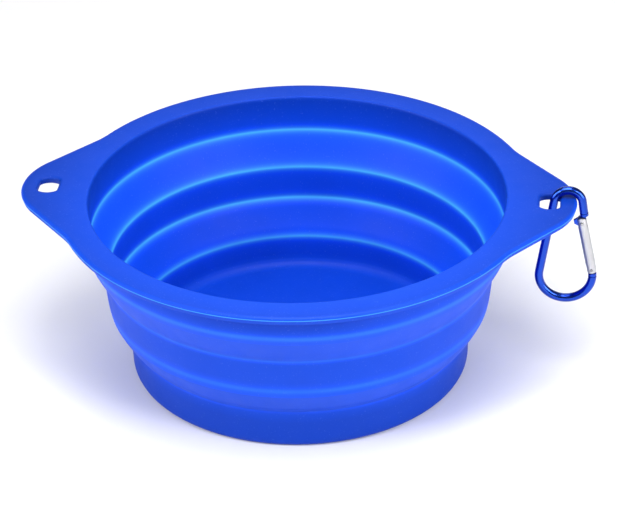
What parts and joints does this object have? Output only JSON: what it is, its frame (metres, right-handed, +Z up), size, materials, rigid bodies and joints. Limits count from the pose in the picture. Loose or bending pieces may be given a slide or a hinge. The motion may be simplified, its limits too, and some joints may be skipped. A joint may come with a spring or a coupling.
{
  "type": "portable pet bowl",
  "caption": "Round silicone pet bowl that collapses flat at ring-shaped folds, with a wide rim, holed carrying ears and a small sprung-gate carabiner hung from an ear.",
  "frame": {"origin": "middle of the flat underside that the opened bowl stands on", "axes": "+Z up along the bowl's axis, X through both ears, the carabiner hangs from the +X ear"},
  "size_m": [0.2202, 0.181, 0.0766],
  "materials": {
    "silicone": "matt moulded silicone, royal blue",
    "anodised_aluminium": "glossy blue anodised",
    "bare_aluminium": "bright polished",
    "steel": "bright"
  },
  "bodies": {
    "rim": {"rim_and_ears": "silicone", "upper_fold": "silicone"},
    "middle": {"middle_ring": "silicone", "lower_fold": "silicone"},
    "base": {"base_cup": "silicone"},
    "carabiner": {"carabiner_frame": "anodised_aluminium"},
    "gate": {"carabiner_gate": "bare_aluminium", "gate_hinge_pin": "steel", "gate_latch_pin": "steel", "gate_spring": "steel"}
  },
  "joints": [
    {"name": "upper_tier_fold", "type": "slide", "parent": "rim", "child": "middle", "axis": [0, 0, 1], "range_m": [0, 0.027], "deforming": ["upper_fold"]},
    {"name": "lower_tier_fold", "type": "slide", "parent": "middle", "child": "base", "axis": [0, 0, 1], "range_m": [0, 0.028], "deforming": ["lower_fold"]},
    {"name": "carabiner_swing", "type": "hinge", "parent": "rim", "child": "carabiner", "pos_m": [0.10255, 0.00325, 0.06956], "axis": [0, -1, 0], "range_deg": [-27, 180]},
    {"name": "gate_hinge", "type": "hinge", "parent": "carabiner", "child": "gate", "pos_m": [0.10805, 0.00325, 0.0616], "axis": [0, 1, 0], "range_deg": [0, 31], "stiffness_Nm_per_rad": 0.012, "springref_deg": -20.05, "deforming": ["gate_spring"]}
  ]
}
